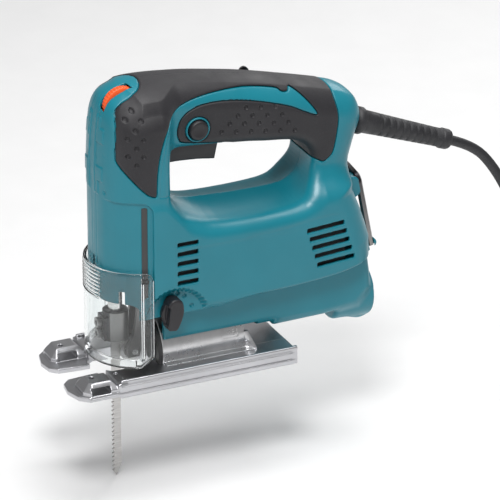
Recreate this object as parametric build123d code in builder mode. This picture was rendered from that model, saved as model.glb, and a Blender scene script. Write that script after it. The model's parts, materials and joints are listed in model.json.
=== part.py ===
from build123d import *
from math import cos, pi, radians, sin, tan
import os

# A corded top-handle jigsaw. Millimetres. X is the cutting direction, Y the tool's left, Z up.
# The sole plane is Z = 0 and the blade line is X = 0.

os.makedirs("parts", exist_ok=True)

# ---- Driving dimensions ----
FAR = 300                       # larger than the tool, for cutting blocks
BASE_BACK, FORK_TIP, BASE_HALF = -109, 42, 38.5
SOLE_T, PLATE_TOP, RIDGE_TOP = 3, 8, 10.5
BEVEL_Z = 14                    # height of the bevel axis, which runs along X
ARCH_R, ARCH_T = 21.8, 2.5
ARCH_FRONT, ARCH_BACK = -23, -79
RECESS_R = ARCH_R + 0.4         # the housing's hollow that turns over the arch
BOLT_X, BEVEL_SLOT = -52, 56     # the bolt, and the degrees its slot runs each way
HEAD_X, HEAD_R, HEAD_WALL = -15.5, 31.5, 3
HEAD_LOW, HEAD_STEP, HEAD_TOP = 77, 124.5, 200
CASE_BACK, CASE_STEP, CASE_TOP = -29, 114.5, 145    # gear case: its rear plate, step and top
CASE_FLOOR = (77.2, 80.8)
BODY_HALF, HANDLE_HALF = 33, 21
MOTOR_Z, MOTOR_R = 77.5, 27     # armature axis height, motor bay radius
MODULE, PINION_TEETH, GEAR_TEETH = 1, 8, 30
GEAR_Z = MOTOR_Z + MODULE * (PINION_TEETH + GEAR_TEETH) / 2
CRANK = 9                       # crank radius, half the blade's stroke
YOKE_Z = GEAR_Z - CRANK         # the yoke slot's height at bottom dead centre
PIVOT_Z = 134                   # the rod's swinging bush
ROD_R, RUN_GAP = 4.5, 0.05      # plunger rod radius, radial running clearance
COVER_GAP, COVER_T = 0.5, 2     # dust cover round the head
COVER_LOW, COVER_TOP, COVER_BACK = 13, 77.5, -17
BLADE_BACK, BLADE_FRONT, BLADE_T, BLADE_TIP = -2.7, 3.5, 1.2, -75
TOOTH_PITCH = 3
CLAMP_SCREWS = (27.5, 35)
ROLLER_Z, ROLLER_R = 13, 7.2
RETAINER_X, RETAINER_Z = -16, 54
ORBIT_X, ORBIT_Z = -25.5, 46
LEVER_Y = (34.4, 38.4)
TRIGGER_PIVOT = (-84, 151)
LOCK = (-47.9, 163)
DIAL, DIAL_R = (-3.5, 181.5), 14
GUARD_X, GUARD_Z, GUARD_LEN, GUARD_TILT = -166, 141, 70.5, 21
CORD_R, COIL_R, COIL_HALF_W, COIL_H = 3.25, 36, 11, 24
FLOOR_Z = -75.5                 # what the cord lies on, just under the blade's tip
COIL_AT = (-375, -10)
SCREWS = ((-153, 62), (-30, 57), (-129, 145), (-98, 177.5), (-155, 150))


def block(x, y, z, mode=Mode.ADD):
    """A box between (low, high) pairs."""
    with Locations((sum(x) / 2, sum(y) / 2, sum(z) / 2)):
        Box(x[1] - x[0], y[1] - y[0], z[1] - z[0], mode=mode)


def drum_x(x, y, z, r, mode=Mode.ADD):
    """A cylinder along X, from x[0] to x[1]."""
    with Locations((sum(x) / 2, y, z)):
        Cylinder(r, x[1] - x[0], rotation=(0, 90, 0), mode=mode)


def drum_y(x, y, z, r, mode=Mode.ADD):
    """A cylinder along Y, from y[0] to y[1]."""
    with Locations((x, sum(y) / 2, z)):
        Cylinder(r, y[1] - y[0], rotation=(90, 0, 0), mode=mode)


def drum_z(x, y, z, r, mode=Mode.ADD):
    """A cylinder along Z, from z[0] to z[1]."""
    with Locations((x, y, sum(z) / 2)):
        Cylinder(r, z[1] - z[0], mode=mode)


def side_sheet(points, half, mode=Mode.ADD):
    """An outline in the XZ plane, made as thick as the tool's width 2 x half."""
    with BuildSketch(Plane.XZ) as sheet:
        with BuildLine():
            Polyline(*points, close=True)
        make_face()
    extrude(sheet.sketch, amount=half, both=True, mode=mode)


def save(builder, name):
    """Label the finished piece and write it."""
    builder.part.label = name
    export_step(builder.part, f"parts/{name}.step")


def head_column(grow, back, z, mode=Mode.ADD):
    """The head's plan, a round nose with straight cheeks, grown outwards and ended at X = back."""
    radius = HEAD_R + grow
    with BuildSketch(Plane.XY.offset(z[0])) as plan:
        with BuildLine():
            ThreePointArc((HEAD_X, -radius), (HEAD_X + radius, 0), (HEAD_X, radius))
            Polyline((HEAD_X, radius), (back, radius), (back, -radius), (HEAD_X, -radius))
        make_face()
    extrude(plan.sketch, amount=z[1] - z[0], mode=mode)


def screw_bodies(gap, mode=Mode.ADD):
    """The housing's screws, or with a gap the holes for them."""
    for x, z in SCREWS:
        wall = HANDLE_HALF if z > CASE_STEP else BODY_HALF - 3
        drum_y(x, (0.5 - wall, 9 - wall), z, 1.5 + gap, mode=mode)
        drum_y(x, (-1.5 - wall - 6 * gap, 0.5 - wall), z, 3.2 + gap, mode=mode)


# ---- Housing: one shell, cut into two halves at Y = 0 ----
with BuildPart() as envelope:
    with BuildSketch(Plane.YZ.offset(-168)):
        with BuildLine():
            Polyline((-28, 101), (-BODY_HALF, 88), (-BODY_HALF, 48), (-19.6, 27.6), (-17.5, 16),
                     (20, 16), (21.9, 22.3), (24, 24), (BODY_HALF, 48), (BODY_HALF, 88), (28, 101))
            ThreePointArc((28, 101), (0, 109), (-28, 101))
        make_face()
    extrude(amount=168 - 18)
    head_column(0, -31, (60, HEAD_STEP))
    head_column(0.9, -25, (HEAD_STEP, HEAD_TOP))
    block((-172, -20), (-HANDLE_HALF, HANDLE_HALF), (95, HEAD_TOP))

with BuildPart() as shell:
    with BuildSketch(Plane.XZ):
        with BuildLine():
            nose = Spline((15.8, HEAD_LOW), (16.2, HEAD_STEP), (17.0, 141), (13.3, 171), (10.8, 181.5))
            crown = Spline(nose @ 1, (2, 191.5), (-14, 196), (-42, 195), (-69, 190.5), (-96, 184.8),
                           (-137.7, 173.5), (-153, 168.5), (-162, 160), (-164.7, 148))
            Polyline(crown @ 1, (-160, 136), (-155, 118), (-155, 104), (-160, 76), (-166, 47),
                     (-166, 40), (-150, 40), (-150, 17), (-101, 17), (-101, 20), (-20, 20),
                     (-20, 60), (-5, 66), (-5, HEAD_LOW), nose @ 0)
        make_face()
        with BuildLine():
            Polyline((-25, 152), (-25, 122), (-34, 116), (-46, 110.5), (-68, 108.7), (-106, 108.3),
                     (-118, 112), (-126, 124), (-126, 135), (-116, 142.5), (-80, 147.5), close=True)
        make_face(mode=Mode.SUBTRACT)
    extrude(amount=BODY_HALF + 1, both=True)
    add(envelope.part, mode=Mode.INTERSECT)
    drum_x((-172, -149), 0, 24, 18)                                     # dust nozzle
    drum_x((-89, 0), 0, BEVEL_Z, RECESS_R, mode=Mode.SUBTRACT)          # turns over the arch
    drum_x((-174, -100), 0, 26, 7.5, mode=Mode.SUBTRACT)                # dust channel
    drum_x((-174, -152), 0, 24, 15, mode=Mode.SUBTRACT)                 # hose socket
    drum_x((-147, -25), 0, MOTOR_Z, MOTOR_R, mode=Mode.SUBTRACT)        # motor bay
    head_column(-HEAD_WALL, CASE_BACK - 0.3, (63.6, CASE_STEP + 0.4), mode=Mode.SUBTRACT)
    head_column(-HEAD_WALL, -21.8, (63.6, 146), mode=Mode.SUBTRACT)
    block((-24, 6), (-24, 24), (20, 64), mode=Mode.SUBTRACT)            # open front below the head
    block((-66.6, -20), (-10.6, 10.6), (30, 64), mode=Mode.SUBTRACT)    # gear case foot
    block((-26, 8), (-15, 15), (146, 186), mode=Mode.SUBTRACT)          # dial and rod top
    block((-92, -26), (-16, 16), (153, 181), mode=Mode.SUBTRACT)        # switch bay
    block((-150, -92), (-16, 16), (151, 168), mode=Mode.SUBTRACT)       # wires, cord clamp
    block((-150, -132), (-16, 16), (100, 151), mode=Mode.SUBTRACT)      # control module
    block((-90, -26), (-8.7, 8.7), (130, 160), mode=Mode.SUBTRACT)      # trigger slot
    drum_y(TRIGGER_PIVOT[0], (-12, 12), TRIGGER_PIVOT[1], 2.02, mode=Mode.SUBTRACT)
    drum_y(DIAL[0], (1.6, 10.4), DIAL[1], DIAL_R + 0.6, mode=Mode.SUBTRACT)
    drum_y(LOCK[0], (14, 30), LOCK[1], 6.8, mode=Mode.SUBTRACT)
    drum_y(ORBIT_X, (10, 40), ORBIT_Z, 4.4, mode=Mode.SUBTRACT)
    for side in (-1, 1):                                                # slots for the cover's studs
        block((-10, -6), (side * 30 - 1.6, side * 30 + 1.6), (60, 121), mode=Mode.SUBTRACT)
        for step in range(5):                                           # vents, front and rear
            block((-43, -28.5), (side * 31 - 6, side * 31 + 6), (91.7 - 6.6 * step, 94.7 - 6.6 * step),
                  mode=Mode.SUBTRACT)
            block((-143 - 1.7 * step, -118 - 1.7 * step), (side * 31 - 8, side * 31 + 8),
                  (86 - 6.1 * step, 89 - 6.1 * step), mode=Mode.SUBTRACT)

guard_dir = Vector(-cos(radians(GUARD_TILT)), 0, -sin(radians(GUARD_TILT)))
guard_plane = Plane(origin=(GUARD_X, 0, GUARD_Z), x_dir=guard_dir, z_dir=(0, 1, 0))
guard_axis = Axis((GUARD_X, 0, GUARD_Z), guard_dir)

with BuildPart() as guard_hole:
    with BuildSketch(guard_plane):
        with BuildLine():
            Polyline((-20, 0), (6, 0), (6, 5.7), (-3, 5.7), (-3, 9.5), (-20, 9.5), close=True)
        make_face()
    revolve(axis=guard_axis)

# The soft grip: a strip along the crown, a panel each side of the grip and a patch on the head.
with BuildPart() as crown_strip:
    with BuildSketch(Plane.XZ):
        with BuildLine():
            strip = Spline((-20, 196.3), (-42, 195), (-69, 190.5), (-96, 184.8), (-137.7, 173.5),
                           (-153, 168.5), (-160, 162.5))
            Polyline(strip @ 1, (-155, 160.5), (-137, 169.5), (-96, 181), (-69, 186.7), (-42, 191),
                     (-20, 192), strip @ 0)
        make_face()
    extrude(amount=15, both=True)

with BuildPart() as grips:
    add(crown_strip.part)
    for side in (-1, 1):
        with BuildSketch(Plane.XZ.offset(side * (HANDLE_HALF + 0.8))):
            with BuildLine():
                Polyline((-34, 166), (-35.5, 176.5), (-43.5, 180.8), (-60, 181.2), (-84, 177.5),
                         (-111, 167.5), (-129, 159), (-120, 147), (-94, 149.5), (-80, 151),
                         (-36, 155), close=True)
            make_face()
        extrude(amount=0.8, both=True)
    drum_y(LOCK[0], (-40, 40), LOCK[1], 7.1, mode=Mode.SUBTRACT)

with BuildPart() as head_patch:
    head_column(2.1, -22, (126, 188))
    head_column(1.0, -30, (120, 190), mode=Mode.SUBTRACT)
    side_sheet(((-18, 129), (-8.5, 131), (3.5, 148.5), (5.2, 159), (4, 186), (-18, 188)), 60,
               mode=Mode.INTERSECT)

for side, name in ((1, "left"), (-1, "right")):
    half = (0, 60) if side > 0 else (-60, 0)
    with BuildPart() as housing_half:
        add(shell.part)
        add(guard_hole.part, mode=Mode.SUBTRACT)
        add(crown_strip.part, mode=Mode.SUBTRACT)
        block((-FAR, FAR), half, (-FAR, FAR), mode=Mode.INTERSECT)
        screw_bodies(0.05, mode=Mode.SUBTRACT)
        if side < 0:                                            # room for the base's rising side
            drum_x((-111, -80), 0, BEVEL_Z, RECESS_R, mode=Mode.SUBTRACT)
    save(housing_half, f"housing_{name}")
    with BuildPart() as grip_half:
        add(grips.part)
        add(head_patch.part)
        block((-FAR, FAR), half, (-FAR, FAR), mode=Mode.INTERSECT)
    save(grip_half, f"grip_{name}")

# ---- Gear case casting ----
with BuildPart() as gear_case:
    head_column(-HEAD_WALL - 0.3, CASE_BACK, (CASE_FLOOR[0], CASE_STEP))
    head_column(-HEAD_WALL - 0.3, -21.5, (CASE_STEP, CASE_TOP))
    block((CASE_BACK, -12), (-22, 22), (64, CASE_FLOOR[1]))
    head_column(-HEAD_WALL - 2.8, CASE_BACK + 3, (CASE_FLOOR[1], CASE_STEP - 1.6), mode=Mode.SUBTRACT)
    head_column(-HEAD_WALL - 2.8, -19, (CASE_FLOOR[1], CASE_TOP - 3), mode=Mode.SUBTRACT)
    block((CASE_BACK + 3, -13), (-19, 19), (67, 85), mode=Mode.SUBTRACT)
    block((CASE_BACK, -20.4), (-10, 10), (36.8, 65))
    block((-66, CASE_BACK), (-10, 10), (36.8, 46))
    for side in (-1, 1):                                        # lugs that carry the roller retainer
        block((-20.4, -11), (side * 9.5 - 1.5, side * 9.5 + 1.5), (49, 65))
        block((-4.5, 4.5), (side * 16 - 3, side * 16 + 3), (129, CASE_TOP - 2))
        drum_y(0, (side * 16 - 4, side * 16 + 4), PIVOT_Z, 3 + RUN_GAP, mode=Mode.SUBTRACT)
    drum_x((CASE_BACK - 1, CASE_BACK + 4), 0, MOTOR_Z, 9.55, mode=Mode.SUBTRACT)
    drum_x((CASE_BACK - 1, -23), 0, GEAR_Z, 5, mode=Mode.SUBTRACT)
    drum_z(0, 0, (141, 146), ROD_R + 2, mode=Mode.SUBTRACT)
    drum_z(0, 0, (76, 82), 9, mode=Mode.SUBTRACT)
    drum_y(ORBIT_X, (-12, 12), ORBIT_Z, 4 + RUN_GAP, mode=Mode.SUBTRACT)
    drum_y(RETAINER_X, (-12, 12), RETAINER_Z, 2, mode=Mode.SUBTRACT)
    drum_z(BOLT_X, 0, (36, 44.5), 3.02, mode=Mode.SUBTRACT)
save(gear_case, "gear_case")

with BuildPart() as rod_guide:                                  # long hole, for the rod's small swing
    drum_z(0, 0, CASE_FLOOR, 8.98)
    with BuildSketch(Plane.XY.offset(CASE_FLOOR[0] - 1)):
        with Locations((0.6, 0)):
            SlotCenterToCenter(1.4, 2 * (ROD_R + 0.3))
    extrude(amount=7, mode=Mode.SUBTRACT)
save(rod_guide, "rod_guide")

with BuildPart() as gear_pin:
    drum_x((CASE_BACK, -14.5), 0, GEAR_Z, 4.98)
save(gear_pin, "gear_pin")

with BuildPart() as retainer_pin:
    drum_y(RETAINER_X, (-11.5, 11.5), RETAINER_Z, 1.98)
save(retainer_pin, "retainer_pin")


# ---- Gears: straight teeth with flat flanks, thinned so that they turn freely in mesh ----
def gear_face(teeth, phase):
    """A gear's outline about the origin; phase turns it, in tooth pitches."""
    pitch_r = MODULE * teeth / 2
    pitch = 2 * pi / teeth
    outline = []
    for tooth in range(teeth):
        middle = (tooth + phase) * pitch
        for radius, offset in ((pitch_r - MODULE, -0.32), (pitch_r, -0.21), (pitch_r + 0.7 * MODULE, -0.1),
                               (pitch_r + 0.7 * MODULE, 0.1), (pitch_r, 0.21), (pitch_r - MODULE, 0.32)):
            angle = middle + offset * pitch
            outline.append((radius * cos(angle), radius * sin(angle)))
    with BuildSketch() as face:
        with BuildLine():
            Polyline(*outline, close=True)
        make_face()
    return face.sketch


pinion_face = gear_face(PINION_TEETH, 0.25 * PINION_TEETH)      # a tooth points straight up
gear_side = gear_face(GEAR_TEETH, 0.75 * GEAR_TEETH + 0.5)      # a gap points straight down

with BuildPart() as crank_gear:
    extrude(Plane.YZ.offset(-22) * Pos(0, GEAR_Z) * gear_side, amount=8)
    drum_x((-23, -22), 0, GEAR_Z, 9)
    drum_x((-24, -13), 0, GEAR_Z, 5 + RUN_GAP, mode=Mode.SUBTRACT)
    drum_x((-14, -9.8), 0, YOKE_Z, 3)
save(crank_gear, "crank_gear")

# ---- Motor ----
with BuildPart() as armature_shaft:
    drum_x((-141, -22.5), 0, MOTOR_Z, 4)
    extrude(Plane.YZ.offset(-22.5) * Pos(0, MOTOR_Z) * pinion_face, amount=9)
save(armature_shaft, "armature_shaft")

with BuildPart() as armature_core:
    drum_x((-100, -60), 0, MOTOR_Z, 16)
    drum_x((-101, -59), 0, MOTOR_Z, 4, mode=Mode.SUBTRACT)
    for turn in range(12):
        angle = radians(30 * turn)
        block_at = (-80, 15.2 * cos(angle), MOTOR_Z + 15.2 * sin(angle))
        with Locations(block_at):
            Cylinder(1.2, 42, rotation=(0, 90, 0), mode=Mode.SUBTRACT)
save(armature_core, "armature_core")

with BuildPart() as armature_windings:
    for ends in ((-106, -100), (-60, -54.5)):
        drum_x(ends, 0, MOTOR_Z, 13)
    drum_x((-107, -53), 0, MOTOR_Z, 4, mode=Mode.SUBTRACT)
save(armature_windings, "armature_windings")

with BuildPart() as commutator:
    drum_x((-126, -110), 0, MOTOR_Z, 10)
    drum_x((-127, -109), 0, MOTOR_Z, 4, mode=Mode.SUBTRACT)
save(commutator, "commutator")

with BuildPart() as cooling_fan:
    drum_x((-52, -49), 0, MOTOR_Z, 24)
    drum_x((-49, -40), 0, MOTOR_Z, 8)
    for blade in range(12):
        angle = 30 * blade
        middle = Location((-44.5, 16 * cos(radians(angle)), MOTOR_Z + 16 * sin(radians(angle))),
                          (angle + 20, 0, 0))
        with Locations(middle):
            Box(9, 14, 1.4)
    drum_x((-53, -39), 0, MOTOR_Z, 4, mode=Mode.SUBTRACT)
save(cooling_fan, "cooling_fan")

for name, ends in (("bearing_front", (CASE_BACK, CASE_BACK + 3)), ("bearing_rear", (-140, -134))):
    with BuildPart() as bearing:
        drum_x(ends, 0, MOTOR_Z, 9.5)
        drum_x((ends[0] - 1, ends[1] + 1), 0, MOTOR_Z, 4 + RUN_GAP, mode=Mode.SUBTRACT)
    save(bearing, name)

with BuildPart() as bearing_plate:
    drum_x((-141, -134), 0, MOTOR_Z, MOTOR_R)
    drum_x((-142, -133), 0, MOTOR_Z, 9.52, mode=Mode.SUBTRACT)
    for angle in range(0, 360, 60):
        drum_x((-142, -133), 18 * cos(radians(angle)), MOTOR_Z + 18 * sin(radians(angle)), 5.5,
               mode=Mode.SUBTRACT)
save(bearing_plate, "bearing_plate")

with BuildPart() as stator_core:
    drum_x((-100, -60), 0, MOTOR_Z, MOTOR_R - 0.5)
    drum_x((-101, -59), 0, MOTOR_Z, 16.6, mode=Mode.SUBTRACT)
    for side in (-1, 1):
        block((-101, -59), (-9, 9), (MOTOR_Z + side * 18 - 3.5, MOTOR_Z + side * 18 + 3.5),
              mode=Mode.SUBTRACT)
save(stator_core, "stator_core")

with BuildPart() as field_coils:
    for side in (-1, 1):
        block((-108, -54), (-8.6, 8.6), (MOTOR_Z + side * 19.3 - 2, MOTOR_Z + side * 19.3 + 2))
save(field_coils, "field_coils")

with BuildPart() as brush_holders:
    for side in (-1, 1):
        block((-123, -113), (side * 17.5 - 5.5, side * 17.5 + 5.5), (MOTOR_Z - 5, MOTOR_Z + 5))
        block((-121.5, -114.5), (side * 16.5 - 5.5, side * 16.5 + 5.5), (MOTOR_Z - 3.5, MOTOR_Z + 3.5),
              mode=Mode.SUBTRACT)
save(brush_holders, "brush_holders")

with BuildPart() as carbon_brushes:
    for side in (-1, 1):
        block((-121.4, -114.6), (side * 15.8 - 5.4, side * 15.8 + 5.4), (MOTOR_Z - 3.4, MOTOR_Z + 3.4))
save(carbon_brushes, "carbon_brushes")

# ---- Plunger, clamp and blade ----
with BuildPart() as swing_bush:
    drum_z(0, 0, (129, 139), 9)
    drum_y(0, (-19.5, 19.5), PIVOT_Z, 3)
    drum_z(0, 0, (128, 140), ROD_R + RUN_GAP, mode=Mode.SUBTRACT)
save(swing_bush, "swing_bush")

with BuildPart() as plunger_rod:
    drum_z(0, 0, (34, 142), ROD_R)
    chamfer(plunger_rod.faces().sort_by(Axis.Z)[-1].edges(), 1)
save(plunger_rod, "plunger_rod")

with BuildPart() as yoke:
    block((-9.2, -5.2), (-16, 16), (YOKE_Z - 6, YOKE_Z + 6))
    drum_z(0, 0, (YOKE_Z - 5, YOKE_Z + 5), 7.5)
    block((-10, -5), (-13, 13), (YOKE_Z - 3.3, YOKE_Z + 3.3), mode=Mode.SUBTRACT)
    drum_z(0, 0, (YOKE_Z - 8, YOKE_Z + 8), ROD_R, mode=Mode.SUBTRACT)
save(yoke, "yoke")

with BuildPart() as blade_clamp:
    drum_z(0, 0, (22.5, 42), 8)
    block((4, 9.5), (-5.5, 5.5), (23.5, 39))
    drum_z(0, 0, (34, 43), ROD_R, mode=Mode.SUBTRACT)
    block((BLADE_BACK - 0.1, BLADE_FRONT + 0.1), (-0.7, 0.7), (20, 33), mode=Mode.SUBTRACT)
    for height in CLAMP_SCREWS:
        drum_x((BLADE_FRONT, 10), 0, height, 2, mode=Mode.SUBTRACT)
save(blade_clamp, "blade_clamp")

with BuildPart() as clamp_screws:
    for height in CLAMP_SCREWS:
        drum_x((5.2, 11), 0, height, 1.98)
        drum_x((9.6, 12.6), 0, height, 3.4)
        with BuildSketch(Plane.YZ.offset(12.7)):
            with Locations((0, height)):
                RegularPolygon(1.7, 6)
        extrude(amount=-2.2, mode=Mode.SUBTRACT)
save(clamp_screws, "clamp_screws")

with BuildPart() as blade:
    with BuildSketch(Plane.XZ):
        with BuildLine():
            teeth_low, teeth_high = BLADE_TIP + 4, -6
            edge = [(BLADE_BACK, 32.6), (BLADE_BACK, BLADE_TIP + 8), (0.8, BLADE_TIP)]
            for step in range(int((teeth_high - teeth_low) / TOOTH_PITCH)):
                height = teeth_low + TOOTH_PITCH * step
                edge += [(BLADE_FRONT, height), (BLADE_FRONT - 1.5, height + 0.5)]
            edge += [(BLADE_FRONT - 0.4, teeth_high + 2), (BLADE_FRONT - 0.4, 32.6)]
            Polyline(*edge, close=True)
        make_face()
    extrude(amount=BLADE_T / 2, both=True)
save(blade, "blade")

# ---- Orbit action ----
roller_x = BLADE_BACK - 0.35 - ROLLER_R
with BuildPart() as retainer:
    for side in (-1, 1):
        with BuildSketch(Plane.XZ.offset(side * 5.6)):
            with BuildLine():
                Polyline((RETAINER_X - 4, RETAINER_Z + 3), (RETAINER_X + 4, RETAINER_Z + 3),
                         (RETAINER_X + 4, 40), (-9.5, 24), (roller_x + 5, ROLLER_Z + 3),
                         (roller_x + 4.5, ROLLER_Z - 3.5), (roller_x - 3, ROLLER_Z - 3.5),
                         (roller_x - 5.5, 20), (RETAINER_X - 4, 36), close=True)
            make_face()
        extrude(amount=1.5, both=True)
    block((RETAINER_X - 4, RETAINER_X - 0.8), (-5, 5), (28, 47))
    drum_y(RETAINER_X, (-9, 9), RETAINER_Z, 2 + RUN_GAP, mode=Mode.SUBTRACT)
    drum_y(roller_x, (-9, 9), ROLLER_Z, 2, mode=Mode.SUBTRACT)
save(retainer, "roller_retainer")

with BuildPart() as roller_pin:
    drum_y(roller_x, (-7.4, 7.4), ROLLER_Z, 1.98)
save(roller_pin, "roller_pin")

with BuildPart() as guide_roller:
    with BuildSketch(Plane.XY.offset(ROLLER_Z)):
        with BuildLine():
            Polyline((roller_x, -3.6), (roller_x + 8.4, -3.6), (roller_x + 8.4, -1.6),
                     (roller_x + ROLLER_R, -0.9), (roller_x + ROLLER_R, 0.9),
                     (roller_x + 8.4, 1.6), (roller_x + 8.4, 3.6), (roller_x, 3.6), close=True)
        make_face()
    revolve(axis=Axis((roller_x, 0, ROLLER_Z), (0, 1, 0)))
    drum_y(roller_x, (-5, 5), ROLLER_Z, 2 + RUN_GAP, mode=Mode.SUBTRACT)
save(guide_roller, "guide_roller")

with BuildPart() as orbit_shaft:
    drum_y(ORBIT_X, (-10, 37), ORBIT_Z, 4)
    block((ORBIT_X + 1.6, ORBIT_X + 6), (-7, 7), (ORBIT_Z - 5, ORBIT_Z + 5), mode=Mode.SUBTRACT)
save(orbit_shaft, "orbit_shaft")

with BuildPart() as orbit_lever:
    with BuildSketch(Plane.XZ.offset(-LEVER_Y[0])):
        with BuildLine():
            Polyline((ORBIT_X - 6, ORBIT_Z + 5), (ORBIT_X + 1, ORBIT_Z + 11), (ORBIT_X + 7, ORBIT_Z + 7),
                     (ORBIT_X + 8.5, ORBIT_Z - 3), (ORBIT_X + 3, ORBIT_Z - 11), (ORBIT_X - 4, ORBIT_Z - 8),
                     close=True)
        make_face()
        fillet(vertices(), 2.5)
    extrude(amount=LEVER_Y[0] - LEVER_Y[1])
    drum_y(ORBIT_X, (LEVER_Y[0], 37), ORBIT_Z, 4, mode=Mode.SUBTRACT)
save(orbit_lever, "orbit_lever")

# ---- Controls ----
with BuildPart() as trigger:
    side_sheet(((-29, 138), (-29, 158), (-84, 158), (-88, 151), (-84, 147.5), (-68, 146),
                (-66, 137.5), (-54, 139), (-40, 140)), 8)
    drum_y(TRIGGER_PIVOT[0], (-9, 9), TRIGGER_PIVOT[1], 2 + RUN_GAP, mode=Mode.SUBTRACT)
save(trigger, "trigger")

with BuildPart() as trigger_pin:
    drum_y(TRIGGER_PIVOT[0], (-12, 12), TRIGGER_PIVOT[1], 2)
save(trigger_pin, "trigger_pin")

with BuildPart() as switch_body:
    block((-80, -34), (-9, 9), (164.5, 178))
save(switch_body, "switch_body")

with BuildPart() as control_module:
    block((-148, -135), (-12, 12), (110, 134))
    block((-147, -138), (-9, 9), (106.5, 110))
save(control_module, "control_module")

with BuildPart() as lock_button:
    drum_y(LOCK[0], (13.2, 24), LOCK[1], 6.4)
    drum_y(LOCK[0], (13.2, 15.2), LOCK[1], 8)
    fillet(lock_button.faces().sort_by(Axis.Y)[-1].edges(), 1)
save(lock_button, "lock_button")

with BuildPart() as speed_dial:
    drum_y(DIAL[0], (2.2, 9.8), DIAL[1], DIAL_R)
    with BuildSketch(Plane.XZ.offset(-10)):
        with Locations(DIAL):
            with PolarLocations(DIAL_R + 0.3, 24):
                Circle(0.9)
    extrude(amount=8, mode=Mode.SUBTRACT)
    drum_y(DIAL[0], (1, 11), DIAL[1], 2.5 + RUN_GAP, mode=Mode.SUBTRACT)
save(speed_dial, "speed_dial")

with BuildPart() as dial_pin:
    drum_y(DIAL[0], (-4, 12), DIAL[1], 2.5)
    drum_y(DIAL[0], (-14, -4), DIAL[1], 4.2)
save(dial_pin, "dial_encoder")

# ---- Dust cover: a clear shield that slides up the head ----
with BuildPart() as dust_cover:
    head_column(COVER_GAP + COVER_T, COVER_BACK, (COVER_LOW, COVER_TOP))
    head_column(COVER_GAP, COVER_BACK - 5, (COVER_LOW - 1, COVER_TOP + 1), mode=Mode.SUBTRACT)
    side_sheet(((COVER_BACK, 21), (COVER_BACK, 0), (-6, 0), (-9, COVER_LOW)), 40, mode=Mode.SUBTRACT)
    for side in (-1, 1):
        drum_y(-8, (side * 31 - 1.2, side * 31 + 1.2), 72, 1.5)
save(dust_cover, "dust_cover")

# ---- Base ----
with BuildPart() as base_plate:
    with BuildSketch():
        with BuildLine():
            Polyline((BASE_BACK, -BASE_HALF), (35, -BASE_HALF), (FORK_TIP, -27), (38, -6), (16, -6),
                     (9, -17), (-20, -17), (-20, 17), (9, 17), (16, 6), (38, 6), (FORK_TIP, 27),
                     (35, BASE_HALF), (BASE_BACK, BASE_HALF))
            ThreePointArc((BASE_BACK, BASE_HALF), (BASE_BACK + 2.5, 0), (BASE_BACK, -BASE_HALF))
        make_face()
        with Locations((BOLT_X, 0)):
            Rectangle(24, 26, mode=Mode.SUBTRACT)
    extrude(amount=SOLE_T)
    with BuildSketch(Plane.XY.offset(SOLE_T)):
        with BuildLine():
            Polyline((BASE_BACK, -BASE_HALF), (12, -BASE_HALF), (12, -17), (-20, -17), (-20, 17), (12, 17),
                     (12, BASE_HALF), (BASE_BACK, BASE_HALF))
            ThreePointArc((BASE_BACK, BASE_HALF), (BASE_BACK + 2.5, 0), (BASE_BACK, -BASE_HALF))
        make_face()
        with Locations((BOLT_X, 0)):
            Rectangle(24, 26, mode=Mode.SUBTRACT)
    extrude(amount=PLATE_TOP - SOLE_T)
    for side in (-1, 1):
        block((-107, 12), (side * 35.75 - 1.25, side * 35.75 + 1.25), (PLATE_TOP - 0.1, RIDGE_TOP))
        block((11.9, 38), (side * 27.25 - 10.25, side * 27.25 + 10.25), (SOLE_T - 0.1, RIDGE_TOP))
        block((17.5, 33), (side * 27.25 - 13, side * 27.25 + 13), (SOLE_T + 0.4, 7.8), mode=Mode.SUBTRACT)
        drum_z(27, side * 25.5, (7, 11), 1.6, mode=Mode.SUBTRACT)
    top_edges = base_plate.edges().filter_by(Axis.X)
    top_edges = top_edges.filter_by_position(Axis.Z, PLATE_TOP - 0.01, PLATE_TOP + 0.01)
    chamfer(top_edges.filter_by(lambda edge: abs(edge.center().Y) > 38), 1.2)
save(base_plate, "base_plate")

slot_side, slot_top = 30 * sin(radians(BEVEL_SLOT)), BEVEL_Z + 30 * cos(radians(BEVEL_SLOT))
with BuildPart() as base_saddle:
    drum_x((ARCH_BACK, ARCH_FRONT), 0, BEVEL_Z, ARCH_R)
    drum_x((-90, 0), 0, BEVEL_Z, ARCH_R - ARCH_T, mode=Mode.SUBTRACT)
    block((-90, 0), (-40, 40), (-20, PLATE_TOP), mode=Mode.SUBTRACT)
    with BuildSketch(Plane.YZ.offset(BOLT_X - 3.6)):
        with BuildLine():
            Polyline((0, BEVEL_Z), (-slot_side, slot_top), (0, slot_top + 20), (slot_side, slot_top),
                     close=True)
        make_face()
    extrude(amount=7.2, mode=Mode.SUBTRACT)
    for side in (-1, 1):
        block((ARCH_BACK, ARCH_FRONT), (side * 19.6 - 1.6, side * 19.6 + 1.6), (PLATE_TOP, PLATE_TOP + 2))
save(base_saddle, "base_saddle")

with BuildPart() as arch_collar:
    drum_x((ARCH_FRONT, ARCH_FRONT + 2.8), 0, BEVEL_Z, ARCH_R - 0.2)
    drum_x((-90, 0), 0, BEVEL_Z, ARCH_R - 4, mode=Mode.SUBTRACT)
    block((-90, 0), (-40, 40), (-20, PLATE_TOP), mode=Mode.SUBTRACT)
save(arch_collar, "arch_collar")

with BuildPart() as bevel_shoe:
    drum_x((BOLT_X - 10, BOLT_X + 10), 0, BEVEL_Z, ARCH_R - ARCH_T - 0.3)
    drum_x((-90, 0), 0, BEVEL_Z, ARCH_R - ARCH_T - 2.8, mode=Mode.SUBTRACT)
    block((-90, 0), (-8, 8), (BEVEL_Z + 10, 60), mode=Mode.INTERSECT)
    drum_z(BOLT_X, 0, (20, 44), 3.05, mode=Mode.SUBTRACT)
save(bevel_shoe, "bevel_shoe")

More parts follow.
